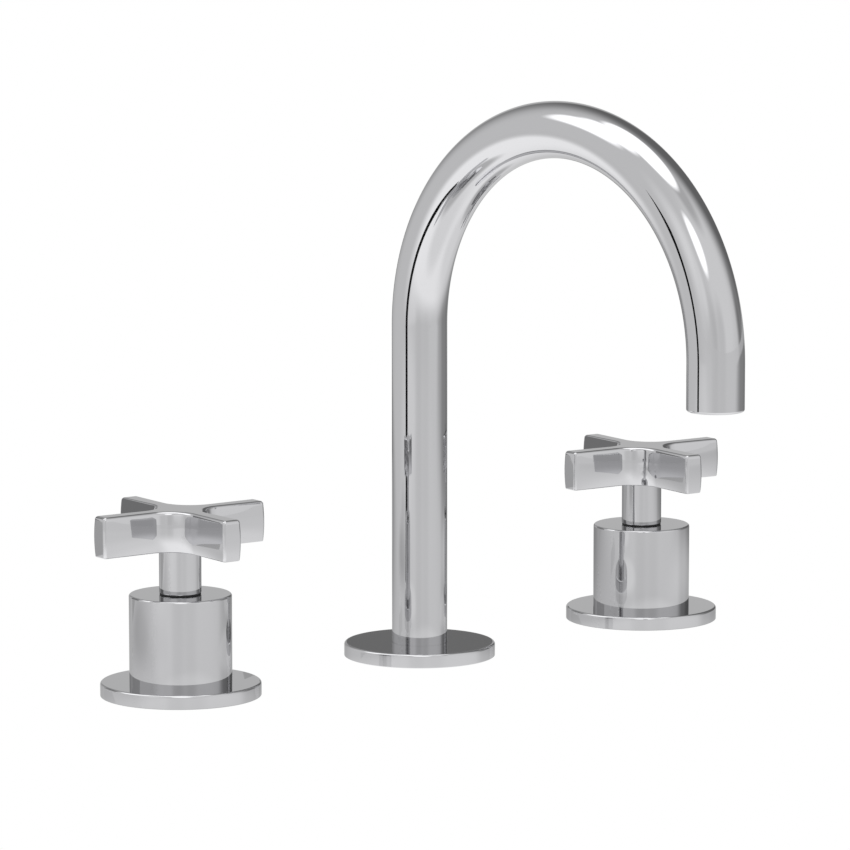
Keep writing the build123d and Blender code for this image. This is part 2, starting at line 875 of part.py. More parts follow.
# The whole set
def valve(side, stand, opening, rest_turn):
    """All pieces of one valve unit; opening is the turn that opens it, counter-clockwise positive."""
    valve_flange(stand, f"{side}_flange")
    bonnet(stand, f"{side}_bonnet")
    valve_body(stand, f"{side}_valve_body")
    seat_seal(stand, f"{side}_seat_seal")
    fixed_disc(stand, f"{side}_fixed_disc")
    cartridge_housing(stand, f"{side}_cartridge_housing", opening)
    housing_seal(stand, f"{side}_housing_seal")
    cartridge_nut(stand, f"{side}_cartridge_nut")
    moving_disc(stand, f"{side}_moving_disc")
    spindle(stand, f"{side}_spindle", opening)
    spindle_seal(stand, f"{side}_spindle_seal")
    spline_adapter(stand, f"{side}_spline_adapter")
    handle_sleeve(stand, f"{side}_handle_sleeve")
    set_screw(stand, f"{side}_set_screw")
    handle_screw(stand, f"{side}_handle_screw")
    cross_handle(stand, f"{side}_cross_handle", rest_turn)


flange_gaskets()
deck_washers()
locknuts()
valve("hot", hot_stand, 1, hot_rest_turn)
valve("cold", cold_stand, -1, cold_rest_turn)
spout_flange()
spout_tube()
spout_base()
tee()
outlet_ring()
aerator()
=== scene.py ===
import json
import math

import bmesh
import bpy
from bpy.props import FloatProperty, FloatVectorProperty, IntProperty, PointerProperty
from bpy.types import Operator, Panel, PropertyGroup
from mathutils import Matrix, Vector


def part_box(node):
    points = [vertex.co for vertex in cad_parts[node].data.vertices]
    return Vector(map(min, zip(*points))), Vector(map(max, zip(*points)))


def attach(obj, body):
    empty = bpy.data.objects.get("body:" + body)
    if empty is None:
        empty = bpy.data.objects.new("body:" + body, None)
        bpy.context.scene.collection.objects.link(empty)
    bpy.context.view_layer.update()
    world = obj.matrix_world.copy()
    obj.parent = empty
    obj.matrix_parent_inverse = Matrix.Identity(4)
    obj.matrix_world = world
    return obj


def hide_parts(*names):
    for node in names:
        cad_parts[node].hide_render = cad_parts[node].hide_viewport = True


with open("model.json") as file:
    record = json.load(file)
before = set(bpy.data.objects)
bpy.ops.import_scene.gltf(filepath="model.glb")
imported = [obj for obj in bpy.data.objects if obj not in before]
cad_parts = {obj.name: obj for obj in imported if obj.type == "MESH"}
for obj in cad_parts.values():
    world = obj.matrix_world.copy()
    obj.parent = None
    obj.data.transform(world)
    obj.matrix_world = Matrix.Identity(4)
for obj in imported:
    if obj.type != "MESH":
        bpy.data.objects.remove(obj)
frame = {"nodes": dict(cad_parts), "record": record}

bl_info = {
    "name": "Widespread basin faucet",
    "version": (1, 0, 0),
    "blender": (4, 5, 0),
    "location": "View3D > Sidebar > Faucet",
    "description": "Builds the visible pieces, finishes and studio of a basin faucet round its CAD frame",
    "category": "Object",
}

MM = 0.001
SIDES = ("hot", "cold")
UP = Vector((0, 0, 1))
RIGHT = Vector((1, 0, 0))
# A quarter turn about X, which lays an upright axis along Y and stands a flat sheet up
TILT = Matrix.Rotation(math.pi / 2, 4, "X")
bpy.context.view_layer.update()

MERGE_DISTANCE = 0.001 * MM
# Skins that come this near meet. The black ring that makes the dark line at a sleeve's foot stands this far
# off the bonnet and goes as far into the sleeve
TOUCH_DISTANCE = 0.01 * MM
# Steps across a bevel, from an edge inside the outlet to the rims that catch the light
COARSE_BEVEL, PLAIN_BEVEL, FINE_BEVEL = 2, 4, 6
DRILL_STEPS = 48
SHARP_ANGLE = math.radians(40)
# A face counts as level where its normal rises at least this much
LEVEL_RISE = 0.9


def linear(hex_colour):
    """Turn an sRGB hex colour into linear red, green and blue."""
    levels = [int(hex_colour[place:place + 2], 16) / 255 for place in (0, 2, 4)]
    return [level / 12.92 if level <= 0.04045 else ((level + 0.055) / 1.055) ** 2.4 for level in levels]


def axis_x(side):
    """Where a valve's axis crosses the deck along X."""
    low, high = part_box(f"{side}_bonnet")
    return (low.x + high.x) / 2


def radius_of(node):
    low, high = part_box(node)
    return (high.x - low.x) / 2


def low_of(node):
    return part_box(node)[0].z


def top_of(node):
    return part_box(node)[1].z


# Sizes that a user may change
def length(label, words, value):
    return FloatProperty(name=label, description=words, default=value, min=0,
                         unit="LENGTH", subtype="DISTANCE")


def angle(label, words, degrees):
    return FloatProperty(name=label, description=words, default=math.radians(degrees),
                         unit="ROTATION", subtype="ANGLE")


def share(label, words, value, most=1.0):
    return FloatProperty(name=label, description=words, default=value, min=0, max=most)


def count(label, words, value, least):
    return IntProperty(name=label, description=words, default=value, min=least)


class FaucetFlanges(PropertyGroup):
    rim_rounding: length("Rim rounding", "Radius of the rounded top rim of the three flanges", 0.8 * MM)
    foot_rounding: length("Foot rounding", "Radius of the edge that meets the deck", 0.2 * MM)
    shank_hole: length("Shank hole", "Radius of the hole for the threaded shank", 12.1 * MM)
    gasket_hole: length("Gasket hole", "Inner radius of the gasket's groove", 13.95 * MM)
    turning_steps: count("Turning steps", "Steps round each turned piece", 160, 12)


class FaucetBonnets(PropertyGroup):
    rim_rounding: length("Rim rounding", "Radius of the rounded top rim of the bonnets", 0.7 * MM)
    window_radius: length("Stem window", "Radius of the hole in the top for the stem", 5.3 * MM)
    window_rounding: length("Window rounding", "Radius of the edge of the stem window", 0.3 * MM)
    wall: length("Wall", "Thickness of the bonnet's wall", 2.2 * MM)
    cap: length("Cap", "Thickness of the bonnet's flat top", 2.4 * MM)
    land: length("Threaded land", "Inner radius of the threaded band at the foot", 12.1 * MM)
    land_height: length("Land height", "Height of the threaded band at the foot", 7.0 * MM)


class FaucetHandles(PropertyGroup):
    reach: length("Arm reach", "From the axis to the rim of an arm's end", 29.75 * MM)
    tip_half_width: length("Tip half width", "Half the width of an arm at its end", 3.05 * MM)
    throat_half_width: length("Throat half width", "Half the width of an arm at the throat", 2.7 * MM)
    throat_distance: length("Throat distance", "From the axis to the throat of an arm", 14.0 * MM)
    web_radius: length("Web radius", "Radius of the round web between two arms", 9.3 * MM)
    tip_bulge: length("Tip bulge", "How far an arm's end swells at mid height", 0.29 * MM)
    root_bulge: length("Root bulge", "How far the sides near the axis swell at mid height", 0.68 * MM)
    corner_rounding: length("Corner rounding", "Radius of the upright corners of the arms' ends", 1.0 * MM)
    rim_rounding: length("Rim rounding", "Radius of the rounded top rim", 0.95 * MM)
    foot_rounding: length("Foot rounding", "Radius of the rounded lower rim", 0.3 * MM)
    arm_count: count("Arms", "How many arms the cross has", 4, 3)
    flank_steps: count("Flank steps", "Steps along each side of an arm", 8, 1)
    web_steps: count("Web steps", "Steps round each web", 24, 4)
    side_steps: count("Side steps", "Steps up each bulged side", 10, 2)
    hot_rest_turn: angle("Hot rest turn", "How far the closed hot handle is turned", -6.8)
    cold_rest_turn: angle("Cold rest turn", "How far the closed cold handle is turned", -8.7)


class FaucetSleeves(PropertyGroup):
    wall: length("Wall", "Thickness of the sleeve's wall", 1.75 * MM)
    foot_rounding: length("Foot rounding", "Radius of the rounded lower edge", 0.4 * MM)
    spigot_radius: length("Spigot", "Radius of the spigot that goes up into the cross", 4.6 * MM)
    screw_hole: length("Screw hole", "Radius of the hole for the handle's screw", 2.05 * MM)
    web: length("Web", "Thickness of the sleeve's closed top", 2.0 * MM)
    socket_gap: length("Socket gap", "Room between spigot or screw and its hole in the cross", 0.05 * MM)
    set_screw_hole: length("Set screw hole", "Radius of the hole at the back", 2.05 * MM)
    ring_inset: length("Ring inset", "How far the black ring at the foot stands back", 0.15 * MM)
    ring_width: length("Ring width", "Width of the black ring at the foot", 1.0 * MM)


class FaucetThreads(PropertyGroup):
    shank_pitch: length("Shank pitch", "Pitch of the fine thread on the three shanks", 1.5 * MM)
    pipe_pitch: length("Pipe pitch", "Pitch of the pipe threads of the inlets and nipples", 1.814 * MM)
    depth_share: share("Thread depth", "Depth of a thread as a share of its pitch", 0.55, 0.8)
    crest_share: share("Crest width", "Width of the ridge's flat crest as a share of the pitch", 0.16)
    foot_share: share("Foot width", "Width of the ridge's foot as a share of the pitch", 0.96)
    bury: length("Bury", "How far the ridge's foot goes into the root", 0.1 * MM)
    turn_steps: count("Thread steps", "Steps round each turn of a thread", 40, 8)


class FaucetSpout(PropertyGroup):
    wall: length("Tube wall", "Thickness of the tube's wall", 1.1 * MM)
    mouth_rounding: length("Mouth rounding", "Radius of the tube's outer edge at the outlet", 0.8 * MM)
    bore_rounding: length("Bore rounding", "Radius of the tube's inner edge at the outlet", 0.2 * MM)
    flange_recess: length("Flange recess", "Radius of the recess for the base plate", 20.35 * MM)
    flange_hole: length("Flange hole", "Radius of the hole for the tube", 9.05 * MM)
    round_steps: count("Round steps", "Steps round the tube", 128, 12)
    arch_steps: count("Arch steps", "Steps along the arch", 128, 12)


class FaucetStudio(PropertyGroup):
    azimuth: angle("Azimuth", "Turn of the camera round the spout, 0 looks along +Y", -42.42)
    elevation: angle("Elevation", "Height of the camera above the horizon", 8.18)
    distance: length("Distance", "From the camera to the point that it looks at", 1787 * MM)
    target_side: length("Target to the right", "How far right of the spout the camera looks", 1.76 * MM)
    target_height: length("Target height", "Height of the point that the camera looks at", 75.8 * MM)
    lens: FloatProperty(name="Lens", description="Focal length of the camera in millimetres",
                        default=232.9, min=1)
    floor_size: length("Floor size", "Side of the square floor", 8000 * MM)
    floor_drop: length("Floor drop", "How far the floor lies under the flanges", 0.02 * MM)
    floor_level: share("Floor level", "Light that the floor sends up steeply", 1.20, 10)
    floor_glance: share("Floor glance", "Share of it that the floor sends at a glance", 0.64)
    floor_mirror: share("Floor mirror", "How much the floor mirrors at a glance", 0.35)
    wall_level: share("Wall level", "Light from the plain walls of the studio", 0.78, 10)
    flag_width: length("Flag width", "Width of the narrow black flag at the left", 58 * MM)
    flag_height: length("Flag height", "Height of the black flag", 250 * MM)
    flag_place: FloatVectorProperty(name="Flag place", description="Where the black flag's foot stands",
                                    default=(-352 * MM, 46 * MM, 0.2 * MM), unit="LENGTH", subtype="XYZ")
    flag_tail: share("Flag tail", "How near the flag's tail comes, as a share of the way", 0.43)
    card_distance: length("Card distance", "From the spout back to the small grey card", 300 * MM)
    card_height: length("Card height", "Height of the middle of the grey card", 60.4 * MM)
    card_width: length("Card width", "Width of the grey card", 62 * MM)
    card_depth: length("Card depth", "Height of the grey card itself", 26 * MM)
    screen_azimuth: angle("Screen azimuth", "Where the handles' screens stand, from the camera", -115.3)
    screen_distance: length("Screen distance", "From a handle's axis to its two screens", 130 * MM)
    screen_width: length("Screen width", "Width of the screens at the handles' left", 74 * MM)
    screen_height: length("Screen height", "Height at which a handle's two screens meet", 40.5 * MM)
    screen_tilt: angle("Screen tilt", "How far the screens lean to their left", 17)


# Threads of the CAD bodies, in mm: radius, and from where to where along the axis
VALVE_SHANK = (12.0, -43.4, 17.4)
SPOUT_SHANK = (12.0, -55.6, 0.6)
INLET = (10.48, -81.6, -68.4)
NIPPLE = (7.14, 19.4, 29.6)
VALVE_NIPPLE_HEIGHT = -53.0
TEE_NIPPLE_HEIGHT = -66.6

# Lights and shades of the studio as the camera sees them: azimuth from the camera towards its right,
# elevation, radius, width of the soft edge (all in degrees) and level
SKY_SPOTS = (
    (45, 22, 44, 40, 0.92),
    (-40, 21, 15, 26, 1.02),
    (58, 66, 15, 16, 0.60),
    (-1, 4, 11, 18, 0.70),
    (-165, 25, 26, 40, 0.50),
    (153, 25, 40, 42, 0.19),
    (-178, 9, 14, 12, 0.70),
    (180, 88, 22, 5, 1.8),
    (-93, 62, 14.5, 6, 1.8),
    (-95, 45.5, 14.5, 6, 1.8),
    (3, 39.5, 12.6, 6, 1.8),
    (24, 4, 14, 16, 0.77),
    (-24, 15, 8, 12, 0.97),
    (-66, 4, 5, 12, 0.72),
    (116, 3, 12, 22, 0.27),
)

# Painted light and painted shade on the floor, with painted shadows near the valves among them: azimuth,
# distance from the spout, radius and soft edge (all three in mm), and share of light, first at a glance
# and then from above
GLANCE_SPOTS = (
    (120, 900, 570, 300, 0.48),
    (-178, 420, 330, 280, 0.42),
    (-74, 222, 70, 90, 0.50),
    (-68, 330, 60, 90, 0.55),
    (-46, 238, 40, 60, 0.88),
    (-45, 560, 300, 300, 1.22),
    (20, 420, 300, 200, 1.05),
    (125, 210, 70, 120, 1.30),
    (-34, 116, 36, 25, 1.20),
    (20, 30, 36, 25, 1.22),
    (115, 94, 36, 25, 1.20),
)
STEEP_SPOTS = (
    (-75, 260, 200, 260, 1.06),
    (120, 380, 240, 320, 0.76),
    (-170, 330, 190, 260, 0.74),
    (8, 110, 80, 80, 0.84),
    (99, 168, 80, 80, 0.84),
    # Painted shadows on the floor under the two valves' handles
    (-47.6, 101.6, 50, 30, 0.55),
    (132.4, 101.6, 50, 30, 0.55),
)

# Two screens beside each handle: tone, lower and upper edge from where they meet (mm), and level
SCREENS = (("grey", -30, -0.6, 0.52), ("black", 0.6, 104, 0.24))
CARD_LEVEL = 0.23
FLAG_LEVEL = 0.01
# From which slant on the floor board is no longer seen from above, and from which at a glance, where a
# head-on look is 0 and a look along the board is 1
BOARD_GLANCE = (0.60, 0.85)
BOARD_ROUGHNESS = 0.02
# Which rays meet the screens, by their length, and which meet the flag, by how much longer they are than the
# flag is far from the spout: middle and half width of the range
SCREEN_REACH = (127 * MM, 29 * MM)
FLAG_REACH = (15 * MM, 45 * MM)


# Mesh work
def verts_of(geom):
    return [part for part in geom if isinstance(part, bmesh.types.BMVert)]


def edges_of(geom):
    return [part for part in geom if isinstance(part, bmesh.types.BMEdge)]


def with_rims(faces):
    """Faces with all their corners and edges."""
    return list({part for face in faces for part in (*face.verts, *face.edges)}) + faces


def ring_edges(bm, centre, radius, height):
    """The edges of a turned mesh that lie on one circle about a vertical axis."""
    def on_circle(vert):
        return (abs((vert.co.xy - centre.xy).length - radius) < MERGE_DISTANCE
                and abs(vert.co.z - height) < MERGE_DISTANCE)
    return [edge for edge in bm.edges if all(on_circle(vert) for vert in edge.verts)]


def round_off(bm, edges, radius, bevel_steps=PLAIN_BEVEL):
    """Round edges off with a bevel."""
    bmesh.ops.bevel(bm, geom=edges, offset=radius, offset_type="OFFSET", segments=bevel_steps, profile=0.5,
                    affect="EDGES", clamp_overlap=True, material=-1)


def turned(centre, outline, round_steps, roundings=()):
    """Turn a closed profile of (radius, height) corners about an upright axis, and round some corners."""
    bm = bmesh.new()
    verts = [bm.verts.new((centre.x + radius, centre.y, height)) for radius, height in outline]
    edges = [bm.edges.new((vert, verts[place - 1])) for place, vert in enumerate(verts)]
    bmesh.ops.spin(bm, geom=verts + edges, cent=centre, axis=UP, angle=math.tau, steps=round_steps,
                   use_merge=True)
    bmesh.ops.remove_doubles(bm, verts=bm.verts, dist=MERGE_DISTANCE)
    for (radius, height), rounding in roundings:
        round_off(bm, ring_edges(bm, centre, radius, height), rounding)
    return bm


def finish_piece(bm, name, body, nodes, slot):
    """Make a smooth piece of a bmesh that rides on a body, stands for CAD nodes and has a slot's finish."""
    bmesh.ops.remove_doubles(bm, verts=bm.verts, dist=MERGE_DISTANCE)
    bmesh.ops.recalc_face_normals(bm, faces=bm.faces)
    mesh = bpy.data.meshes.new(name)
    bm.to_mesh(mesh)
    bm.free()
    mesh.materials.append(shared_material(FINISHES[slot]))
    mesh.shade_smooth()
    mesh.set_sharp_from_angle(angle=SHARP_ANGLE)
    piece = bpy.data.objects.new(name, mesh)
    bpy.context.scene.collection.objects.link(piece)
    even = piece.modifiers.new("even_normals", "WEIGHTED_NORMAL")
    even.keep_sharp = True
    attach(piece, body)
    if nodes:
        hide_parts(*nodes)
    return piece


def drill(piece, radius, depth, place):
    """Drill a round hole in a finished piece, with its middle and its axis where a matrix puts them."""
    bm = bmesh.new()
    bmesh.ops.create_cone(bm, cap_ends=True, segments=DRILL_STEPS, radius1=radius, radius2=radius,
                          depth=depth, matrix=place)
    mesh = bpy.data.meshes.new("drill")
    bm.to_mesh(mesh)
    bm.free()
    bit = bpy.data.objects.new("drill", mesh)
    bpy.context.scene.collection.objects.link(bit)
    bpy.context.view_layer.objects.active = piece
    difference = piece.modifiers.new("cut", "BOOLEAN")
    difference.object = bit
    difference.solver = "EXACT"
    piece.modifiers.move(len(piece.modifiers) - 1, 0)
    drilled = bpy.data.meshes.new_from_object(piece.evaluated_get(bpy.context.evaluated_depsgraph_get()))
    piece.modifiers.remove(difference)
    piece.data = drilled
    drilled.name = piece.name
    bpy.data.objects.remove(bit)


# Materials
WHITE = (1, 1, 1, 1)
# Noise seldom leaves the first range, and two colours blend over the second
NOISE_SPREAD = (0.3, 0.7)
PATCH_SPREAD = (0.35, 0.65)


def add_node(tree, kind, inputs=(), **settings):
    """Add a node, set its properties, and set or link its inputs."""
    made = tree.nodes.new(kind)
    for name, value in settings.items():
        setattr(made, name, value)
    for name, value in dict(inputs).items():
        if isinstance(value, bpy.types.NodeSocket):
            tree.links.new(value, made.inputs[name])
        else:
            made.inputs[name].default_value = value
    return made


def ranged(tree, value, reach, target=(0, 1), **settings):
    """Map a value from its range to another one, and keep it inside."""
    return add_node(tree, "ShaderNodeMapRange", {
        "Value": value, "From Min": reach[0], "From Max": reach[1],
        "To Min": target[0], "To Max": target[1]}, **settings).outputs["Result"]


def noise(tree, place, size, detail):
    """Noise in patches about as wide as a size."""
    return add_node(tree, "ShaderNodeTexNoise", {
        "Vector": place, "Scale": 1 / size, "Detail": detail}).outputs["Fac"]


def empty_material(name):
    material = bpy.data.materials.get(name)
    if material is not None:
        bpy.data.materials.remove(material)
    material = bpy.data.materials.new(name)
    material.use_nodes = True
    material.node_tree.nodes.clear()
    return material


def chrome_plate():
    """Chromium plate on buffed brass: a cool mirror, marked only by a faint waviness and buffing haze."""
    material = empty_material("chrome_plate_on_buffed_brass")
    tree = material.node_tree
    place = add_node(tree, "ShaderNodeTexCoord").outputs["Object"]
    # Buffing leaves waves some 9 mm apart and a fraction of a micron high
    waves = noise(tree, place, 9 * MM, 1.0)
    bump = add_node(tree, "ShaderNodeBump", {"Height": waves, "Strength": 0.02, "Distance": 0.1 * MM})
    # Fine haze, in patches about 2 mm wide
    haze = noise(tree, place, 2 * MM, 3.0)
    shader = add_node(tree, "ShaderNodeBsdfPrincipled", {
        "Base Color": [*linear("CDCDCF"), 1.0], "Metallic": 1.0,
        "Roughness": ranged(tree, haze, NOISE_SPREAD, (0.03, 0.05)),
        "Specular Tint": [*linear("E6E6E6"), 1.0], "Normal": bump.outputs["Normal"]})
    add_node(tree, "ShaderNodeOutputMaterial", {"Surface": shader.outputs["BSDF"]})
    return material


def grained(name, colours, patch, grain, relief, gloss, surface):
    """A finish with patches of two colours, and a grain that gives relief and varies the roughness.

    Patch, grain and relief are sizes in mm, and gloss is the range of the roughness.
    """
    material = empty_material(name)
    tree = material.node_tree
    place = add_node(tree, "ShaderNodeTexCoord").outputs["Object"]
    blend = ranged(tree, noise(tree, place, patch * MM, 2.0), PATCH_SPREAD)
    colour = add_node(tree, "ShaderNodeMix", {
        0: blend, 6: [*linear(colours[0]), 1.0], 7: [*linear(colours[1]), 1.0]}, data_type="RGBA")
    drawn = add_node(tree, "ShaderNodeMapping", {
        "Vector": place, "Scale": [1 / (size * MM) for size in grain]})
    grains = noise(tree, drawn.outputs["Vector"], 1.0, 2.0)
    bump = add_node(tree, "ShaderNodeBump", {"Height": grains, "Strength": 0.6, "Distance": relief * MM})
    shader = add_node(tree, "ShaderNodeBsdfPrincipled", {
        "Base Color": colour.outputs[2], "Roughness": ranged(tree, grains, NOISE_SPREAD, gloss),
        "Normal": bump.outputs["Normal"], **surface})
    add_node(tree, "ShaderNodeOutputMaterial", {"Surface": shader.outputs["BSDF"]})
    return material


def turned_brass():
    """Free-cutting brass turned on a lathe: satin yellow, dulled in patches, with level tool rings."""
    # The tool's feed is some 0.1 mm a turn, drawn three times as coarse so that it shows
    return grained("turned_free_cutting_brass", ("C9AB6B", "B08C4E"), 8.0, (30.0, 30.0, 0.3), 0.02,
                   (0.24, 0.40), {"Metallic": 1.0})


def rolled_steel():
    """Stainless steel sheet and screws: grey and satin, with the straight marks of the rolls along Y."""
    # Rolling marks are some 0.05 mm apart, drawn as coarse as 0.4 mm
    return grained("rolled_stainless_steel", ("B2B3B4", "9FA1A3"), 6.0, (0.4, 9.0, 0.4), 0.008,
                   (0.22, 0.36), {"Metallic": 1.0})


def moulded_acetal():
    """Injection moulded acetal: milky white and slightly clear at its edges, with a fine eroded skin."""
    return grained("moulded_white_acetal", ("F0EFEA", "E5E3DC"), 4.0, (0.35, 0.35, 0.35), 0.01,
                   (0.32, 0.46), {"IOR": 1.48, "Subsurface Weight": 0.2,
                                  "Subsurface Radius": (1.0, 1.0, 1.0), "Subsurface Scale": 0.8 * MM})


def lapped_alumina():
    """Alumina discs, sintered and lapped: cream white and glossy, with tiny pores."""
    # Pores are some 0.02 mm wide, drawn as coarse as 0.25 mm
    return grained("lapped_alumina", ("F2EFE6", "E6E1D3"), 3.0, (0.25, 0.25, 0.25), 0.003,
                   (0.10, 0.22), {"IOR": 1.76})


def nitrile_rubber():
    """Moulded nitrile rubber: near black and dull, with greyer patches of bloom and a fine eroded skin."""
    return grained("moulded_nitrile_rubber", ("171718", "262627"), 5.0, (0.5, 0.5, 0.5), 0.04,
                   (0.52, 0.72), {"IOR": 1.52})


made_materials = {}


def shared_material(maker):
    """Make a material once and hand it out again afterwards."""
    if maker.__name__ not in made_materials:
        made_materials[maker.__name__] = maker()
    return made_materials[maker.__name__]


FINISHES = {
    "chrome_plate": chrome_plate,
    "brass": turned_brass,
    "steel": rolled_steel,
    "white_plastic": moulded_acetal,
    "white_ceramic": lapped_alumina,
    "black_rubber": nitrile_rubber,
}


# Pieces
class FAUCET_OT_valve_flanges(Operator):
    """Turn the round plates under the two valves"""
    bl_idname = "faucet.valve_flanges"
    bl_label = "Valve flanges"

    def execute(self, context):
        sizes = context.scene.faucet_flanges
        gasket_top = top_of("flange_gaskets")
        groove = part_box("flange_gaskets")[1].x - axis_x("cold")
        for side in SIDES:
            node = f"{side}_flange"
            outer, top = radius_of(node), top_of(node)
            bm = turned(Vector((axis_x(side), 0, 0)), [
                (sizes.shank_hole, 0), (sizes.gasket_hole, 0), (sizes.gasket_hole, gasket_top),
                (groove, gasket_top), (groove, 0), (outer, 0), (outer, top), (sizes.shank_hole, top),
            ], sizes.turning_steps, [((outer, top), sizes.rim_rounding), ((outer, 0), sizes.foot_rounding)])
            finish_piece(bm, f"{side}_flange_plate", "deck_set", [node], "chrome_plate")
        return {"FINISHED"}


class FAUCET_OT_bonnets(Operator):
    """Turn the two bonnets with their rounded rims"""
    bl_idname = "faucet.bonnets"
    bl_label = "Bonnets"

    def execute(self, context):
        sizes = context.scene.faucet_bonnets
        for side in SIDES:
            node = f"{side}_bonnet"
            outer, low, top = radius_of(node), low_of(node), top_of(node)
            inside = outer - sizes.wall
            ceiling = top - sizes.cap
            land_top = low + sizes.land_height
            bm = turned(Vector((axis_x(side), 0, 0)), [
                (sizes.land, low), (outer, low), (outer, top), (sizes.window_radius, top),
                (sizes.window_radius, ceiling), (inside, ceiling), (inside, land_top),
                (sizes.land, land_top),
            ], context.scene.faucet_flanges.turning_steps, [
                ((outer, top), sizes.rim_rounding), ((sizes.window_radius, top), sizes.window_rounding)])
            finish_piece(bm, f"{side}_bonnet_shell", "deck_set", [node], "chrome_plate")
        return {"FINISHED"}


def cross_outline(bm, sizes):
    """Draw the rim outline of the cross: one arm and one round web, repeated round the axis."""
    half_sector = math.pi / sizes.arm_count
    flare = (sizes.tip_half_width - sizes.throat_half_width) / (sizes.reach - sizes.throat_distance)
    half_at_axis = sizes.throat_half_width - flare * sizes.throat_distance
    slope = math.atan(flare)
    web_x = (half_at_axis + sizes.web_radius / math.cos(slope)) / (math.tan(half_sector) - flare)
    web_y = web_x * math.tan(half_sector)
    tangent_x = web_x + sizes.web_radius * math.sin(slope)
    tangent_y = web_y - sizes.web_radius * math.cos(slope)
    corners = [(tangent_x, -tangent_y), (sizes.reach, -sizes.tip_half_width),
               (sizes.reach, sizes.tip_half_width), (tangent_x, tangent_y)]
    verts = [bm.verts.new((x, y, 0)) for x, y in corners]
    lines = [bm.edges.new(pair) for pair in zip(verts, verts[1:])]
    bmesh.ops.spin(bm, geom=[verts[-1]], cent=(web_x, web_y, 0), axis=UP,
                   angle=2 * half_sector - math.pi - 2 * slope, steps=sizes.web_steps)
    bmesh.ops.subdivide_edges(bm, edges=[lines[0], lines[-1]], cuts=sizes.flank_steps - 1)
    others = sizes.arm_count - 1
    bmesh.ops.spin(bm, geom=bm.verts[:] + bm.edges[:], cent=(0, 0, 0), axis=UP,
                   angle=2 * half_sector * others, steps=others, use_duplicate=True)
    bmesh.ops.remove_doubles(bm, verts=bm.verts, dist=MERGE_DISTANCE)


def swell_sides(bm, height, sizes):
    """Bulge the upright sides of a cross at mid height, less towards the arms' ends."""
    tip = math.hypot(sizes.reach, sizes.tip_half_width)
    moves = []
    for vert in bm.verts:
        rise = vert.co.z / height
        bulge = sizes.root_bulge + (sizes.tip_bulge - sizes.root_bulge) * (vert.co.xy.length / tip) ** 2
        swell = 4 * rise * (1 - rise) * bulge
        if swell > MERGE_DISTANCE:
            moves.append((vert, vert.normal * swell * vert.calc_shell_factor()))
    for vert, move in moves:
        vert.co += move


def round_cross(bm, height, sizes):
    """Round the upright corners of the arms' ends, then the upper and the lower rim."""
    tip = math.hypot(sizes.reach, sizes.tip_half_width)
    corners = [edge for edge in bm.edges
               if all(vert.co.xy.length > tip - MERGE_DISTANCE for vert in edge.verts)
               and abs(edge.verts[0].co.z - edge.verts[1].co.z) > MERGE_DISTANCE]
    round_off(bm, corners, sizes.corner_rounding, FINE_BEVEL)
    for level, rounding in ((height, sizes.rim_rounding), (0, sizes.foot_rounding)):
        rims = [edge for edge in bm.edges
                if all(abs(vert.co.z - level) < MERGE_DISTANCE for vert in edge.verts)
                and any(abs(face.normal.z) < LEVEL_RISE for face in edge.link_faces)]
        round_off(bm, rims, rounding, FINE_BEVEL)
        bm.normal_update()


class FAUCET_OT_cross_handles(Operator):
    """Build the two cross handles with bulged sides, rounded rims and a socket for the sleeve"""
    bl_idname = "faucet.cross_handles"
    bl_label = "Cross handles"

    def execute(self, context):
        sizes = context.scene.faucet_handles
        fits = context.scene.faucet_sleeves
        for side in SIDES:
            node = f"{side}_cross_handle"
            low, height = low_of(node), top_of(node) - low_of(node)
            bm = bmesh.new()
            cross_outline(bm, sizes)
            bmesh.ops.contextual_create(bm, geom=bm.verts[:] + bm.edges[:])
            raised = bmesh.ops.extrude_face_region(bm, geom=bm.faces[:])["geom"]
            bmesh.ops.translate(bm, verts=verts_of(raised), vec=UP * height)
            bmesh.ops.recalc_face_normals(bm, faces=bm.faces)
            upright = [edge for edge in bm.edges
                       if abs(edge.verts[0].co.z - edge.verts[1].co.z) > height / 2]
            bmesh.ops.subdivide_edges(bm, edges=upright, cuts=sizes.side_steps - 1, use_grid_fill=True)
            bm.normal_update()
            swell_sides(bm, height, sizes)
            round_cross(bm, height, sizes)
            turn = getattr(sizes, f"{side}_rest_turn")
            bmesh.ops.rotate(bm, verts=bm.verts, cent=(0, 0, 0), matrix=Matrix.Rotation(turn, 3, "Z"))
            bmesh.ops.translate(bm, verts=bm.verts, vec=(axis_x(side), 0, low))
            cross = finish_piece(bm, f"{side}_cross", f"{side}_handle", [node], "chrome_plate")
            for radius, end in ((fits.spigot_radius, top_of(f"{side}_handle_sleeve")),
                                (fits.screw_hole, top_of(f"{side}_handle_screw"))):
                start, ceiling = low - fits.web, end + fits.socket_gap
                drill(cross, radius + fits.socket_gap, ceiling - start,
                      Matrix.Translation((axis_x(side), 0, (start + ceiling) / 2)))
        return {"FINISHED"}


